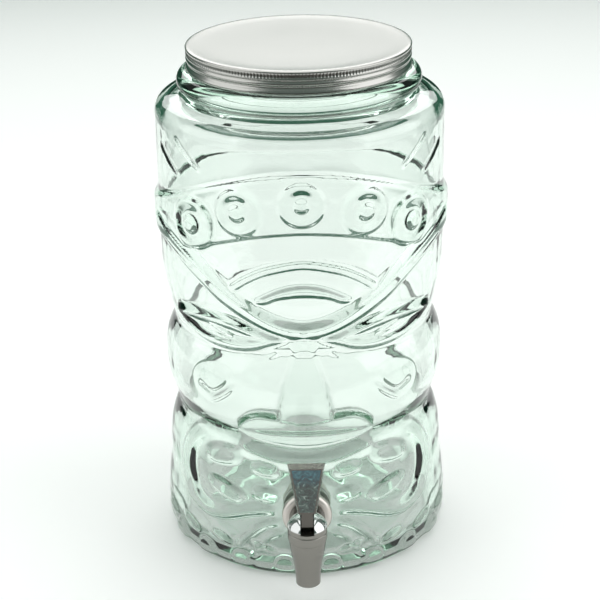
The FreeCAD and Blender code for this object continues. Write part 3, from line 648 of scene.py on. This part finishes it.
def bonnet_chrome():
    """Chrome plate, bright as a mirror on the bonnet's dome and brushed round its straight rim, as the barrel
    under it is."""
    material, tree, out = blank("chrome_plate_bonnet")
    place = add(tree, "ShaderNodeTexCoord").outputs["Object"]
    height = add(tree, "ShaderNodeSeparateXYZ", {}, {"Vector": place}).outputs["Z"]
    brushed = add(tree, "ShaderNodeMapRange", {"From Min": RIM_TOP * MM, "From Max": (RIM_TOP - 0.6) * MM},
                  {"Value": height}).outputs["Result"]
    marks = add(tree, "ShaderNodeTexNoise", {"Scale": per_metre(0.35), "Detail": 4.0, "Roughness": 0.65},
                {"Vector": place})
    rough = add(tree, "ShaderNodeMapRange", {"To Min": 0.07, "To Max": SATIN_ROUGHNESS}, {"Value": brushed})
    tone = add(tree, "ShaderNodeMix", {}, {"Factor": brushed}, data_type="RGBA")
    tone.inputs[6].default_value = linear("cfcfcf")
    tone.inputs[7].default_value = linear(SATIN_COLOUR)
    bump = add(tree, "ShaderNodeBump", {"Strength": 0.3, "Distance": 0.002 * MM},
               {"Height": marks.outputs["Fac"]})
    body = add(tree, "ShaderNodeBsdfPrincipled", {"Metallic": 1.0},
               {"Base Color": tone.outputs[2], "Roughness": rough.outputs["Result"],
                "Normal": bump.outputs["Normal"]})
    tree.links.new(body.outputs["BSDF"], out.inputs["Surface"])
    return material


def silicone():
    """Moulded silicone: milky, faintly see-through and satin."""
    material, tree, out = blank("silicone_moulded")
    place = add(tree, "ShaderNodeTexCoord").outputs["Object"]
    grain = add(tree, "ShaderNodeTexNoise", {"Scale": per_metre(0.6), "Detail": 2.0}, {"Vector": place})
    bump = add(tree, "ShaderNodeBump", {"Strength": 0.2, "Distance": 0.02 * MM},
               {"Height": grain.outputs["Fac"]})
    rough = add(tree, "ShaderNodeMapRange", {"To Min": 0.38, "To Max": 0.52}, {"Value": grain.outputs["Fac"]})
    body = add(tree, "ShaderNodeBsdfPrincipled",
               {"Base Color": linear("e4e3dd"), "Subsurface Weight": 0.3, "Subsurface Radius": (2 * MM,) * 3,
                "IOR": 1.41},
               {"Roughness": rough.outputs["Result"], "Normal": bump.outputs["Normal"]})
    tree.links.new(body.outputs["BSDF"], out.inputs["Surface"])
    return material


def nylon():
    """Moulded white nylon: slightly warm, with the fine spark-eroded texture of its mould."""
    material, tree, out = blank("nylon_moulded")
    place = add(tree, "ShaderNodeTexCoord").outputs["Object"]
    spark = add(tree, "ShaderNodeTexNoise", {"Scale": per_metre(0.4), "Detail": 3.0}, {"Vector": place})
    bump = add(tree, "ShaderNodeBump", {"Strength": 0.35, "Distance": 0.03 * MM},
               {"Height": spark.outputs["Fac"]})
    rough = add(tree, "ShaderNodeMapRange", {"To Min": 0.45, "To Max": 0.62}, {"Value": spark.outputs["Fac"]})
    body = add(tree, "ShaderNodeBsdfPrincipled", {"Base Color": linear("e6e4dc"), "IOR": 1.53},
               {"Roughness": rough.outputs["Result"], "Normal": bump.outputs["Normal"]})
    tree.links.new(body.outputs["BSDF"], out.inputs["Surface"])
    return material


def inlay_painted_reflection():
    """Resin under a clear gloss, its colours a painted reflection: mottled teal with pale patches, blue-green
    at its top and grey-green lower down.
    """
    material, tree, out = blank("inlay_mottled_painted_reflection")
    place = add(tree, "ShaderNodeTexCoord").outputs["Object"]
    flow = add(tree, "ShaderNodeTexNoise",
               {"Scale": per_metre(5), "Detail": 5.0, "Roughness": 0.62, "Distortion": 1.4},
               {"Vector": place})
    layers = []
    # Painted reflection: a grey-green and a blue-green colour set, each with pale patches at its light end.
    for codes in (("16211f", "2c3b38", "4a5f58", "a9b8b0"), ("17303a", "1f4f5c", "2f6c78", "5d99a3")):
        colours = add(tree, "ShaderNodeValToRGB", {}, {"Fac": flow.outputs["Fac"]})
        ramp = colours.color_ramp
        ramp.elements[0].position, ramp.elements[0].color = 0.36, linear(codes[0])
        ramp.elements[1].position, ramp.elements[1].color = 0.68, linear(codes[3])
        ramp.elements.new(0.46).color = linear(codes[1])
        ramp.elements.new(0.57).color = linear(codes[2])
        layers.append(colours.outputs["Color"])
    # The painted reflection turns bluer towards the inlay's top.
    height = add(tree, "ShaderNodeSeparateXYZ", {}, {"Vector": place}).outputs["Z"]
    low, high = INLAY_REFLECTION_CHANGE
    upper = add(tree, "ShaderNodeMapRange", {"From Min": low * MM, "From Max": high * MM}, {"Value": height})
    colours = add(tree, "ShaderNodeMix", {}, {"Factor": upper.outputs["Result"]}, data_type="RGBA")
    tree.links.new(layers[0], colours.inputs[6])
    tree.links.new(layers[1], colours.inputs[7])
    body = add(tree, "ShaderNodeBsdfPrincipled",
               {"Roughness": 0.22, "Coat Weight": 0.8, "Coat Roughness": 0.05},
               {"Base Color": colours.outputs[2]})
    tree.links.new(body.outputs["BSDF"], out.inputs["Surface"])
    return material


def paper():
    """Matt white paper of the sweep, which also glows a little, so that it stays white under the jar."""
    material, tree, out = blank("white_paper_sweep")
    body = add(tree, "ShaderNodeBsdfPrincipled",
               {"Base Color": linear("f2f2f1"), "Roughness": 0.9, "Emission Color": linear("ffffff"),
                "Emission Strength": 0.15})
    tree.links.new(body.outputs["BSDF"], out.inputs["Surface"])
    return material


def glowing_shade_card():
    """Dark card behind the sweep, glowing a dim green as painted shade. The glass shows it along the steep
    edges of its relief.
    """
    material, tree, out = blank("green_painted_shade_card")
    body = add(tree, "ShaderNodeBsdfPrincipled",
               # The emission 2f5a48 is painted shade: a dim green glow for the glass's dark edges.
               {"Base Color": linear("16201b"), "Roughness": 1.0, "Emission Color": linear("2f5a48"),
                "Emission Strength": 1.0})
    tree.links.new(body.outputs["BSDF"], out.inputs["Surface"])
    return material


def dark_board():
    """Matt dark brown-grey board in front of the sweep. The lid's side and the tap mirror it."""
    material, tree, out = blank("dark_grey_board")
    body = add(tree, "ShaderNodeBsdfPrincipled", {"Base Color": linear("453f3b"), "Roughness": 1.0})
    tree.links.new(body.outputs["BSDF"], out.inputs["Surface"])
    return material


def dress(node, material):
    """Gives a CAD node its finish."""
    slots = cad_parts[node].material_slots
    if not slots:
        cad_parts[node].data.materials.append(material)
    for slot in slots:
        slot.material = material


# ---- stage ---------------------------------------------------------------------------------------------
def set_camera():
    """Camera 0.93 m in front and 0.54 m up, looking 23 degrees down through a 101 mm lens, and level to one
    degree."""
    data = bpy.data.cameras.new("camera")
    data.sensor_width = 36.0
    data.lens = 101.02
    data.shift_x = -0.0052
    camera = bpy.data.objects.new("camera", data)
    bpy.context.collection.objects.link(camera)
    tilt = Euler((math.radians(66.79), 0, 0)).to_matrix().to_4x4()
    roll = Matrix.Rotation(math.radians(-1.062), 4, "Z")
    camera.matrix_world = Matrix.Translation((0.0, -0.93186, 0.54046)) @ tilt @ roll
    bpy.context.scene.camera = camera


def softbox(name, place, towards, size, power):
    """Rectangular white light, with its places and sizes in metres, aimed at a point."""
    data = bpy.data.lights.new(name, "AREA")
    data.shape = "RECTANGLE"
    data.size, data.size_y = size
    data.energy = power
    lamp = bpy.data.objects.new(name, data)
    bpy.context.collection.objects.link(lamp)
    lamp.location = place
    lamp.rotation_euler = (Vector(towards) - Vector(place)).to_track_quat("-Z", "Y").to_euler()


def sheet(name, corners, material):
    """A flat sheet of the stage."""
    made = new_mesh(name, corners, [(0, 1, 2, 3)])
    made.data.materials.append(material)
    return made


def set_stage():
    """White sweep, a card behind it that glows a dim green as painted shade, a dark board in front of it, a
    dim room and four softboxes.
    """
    sweep = sheet("sweep", [(-SWEEP_HALF, SWEEP_FRONT, 0), (SWEEP_HALF, SWEEP_FRONT, 0),
                            (SWEEP_HALF, SWEEP_BACK, 0), (-SWEEP_HALF, SWEEP_BACK, 0)], paper())
    # This card glows a dim green: painted shade.
    shade_card = sheet("shade_card", [(-SHADE_CARD_HALF, SHADE_CARD_Y, 0), (SHADE_CARD_HALF, SHADE_CARD_Y, 0),
                                (SHADE_CARD_HALF, SHADE_CARD_Y, SHADE_CARD_TALL),
                                (-SHADE_CARD_HALF, SHADE_CARD_Y, SHADE_CARD_TALL)], glowing_shade_card())
    back = SWEEP_FRONT - BOARD_DROP
    board = sheet("board", [(-BOARD_HALF, BOARD_FRONT, -BOARD_DROP), (BOARD_HALF, BOARD_FRONT, -BOARD_DROP),
                            (BOARD_HALF, back, -BOARD_DROP), (-BOARD_HALF, back, -BOARD_DROP)], dark_board())
    room = bpy.data.worlds.new("studio")
    room.use_nodes = True
    room.node_tree.nodes["Background"].inputs["Color"].default_value = linear("73817a")
    room.node_tree.nodes["Background"].inputs["Strength"].default_value = 1.0
    bpy.context.scene.world = room
    softbox("back_softbox", (0, 1.9, 1.3), (0, 0, 0.25), (2.4, 1.1), 18)
    softbox("top_softbox", (0, 0.35, 1.9), (0, 0.3, 0), (2.4, 2.2), 24)
    softbox("right_softbox", (1.0, -0.25, 0.58), (0, 0, 0.1), (1.2, 1.1), 7)
    softbox("left_softbox", (-1.0, -0.25, 0.58), (0, 0, 0.1), (1.2, 1.1), 5)
    bpy.context.scene.view_settings.view_transform = "Standard"


# ---- all of it -----------------------------------------------------------------------------------------
def main():
    """Camera, the two pieces that this script makes itself, the finish of the other pieces, and the stage."""
    set_camera()

    jar = jar_glass()
    jar.data.materials.append(soda_lime_glass())
    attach(jar, "jar_and_tap")
    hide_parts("jar")

    cap = lid_cap()
    cap.data.materials.append(lid_tinplate())
    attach(cap, "lid")
    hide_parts("lid_shell")

    rubber, steel = silicone(), drawn_steel()
    for node in ("outer_washer", "inner_washer", "lid_gasket", "bonnet_gasket", "stem_o_ring", "seat_seal"):
        dress(node, rubber)
    for node in ("valve_stem", "stem_cross_pin", "valve_spring", "flat_washer", "lever_pin"):
        dress(node, steel)
    for node, material in (("tap_body", barrel_chrome()), ("tap_escutcheon", collar_chrome_painted_light()),
                           ("bonnet", bonnet_chrome()), ("lever", lever_plate_painted_dark()),
                           ("lever_inlay", inlay_painted_reflection()), ("shank_nut", nylon())):
        dress(node, material)
    set_stage()


main()
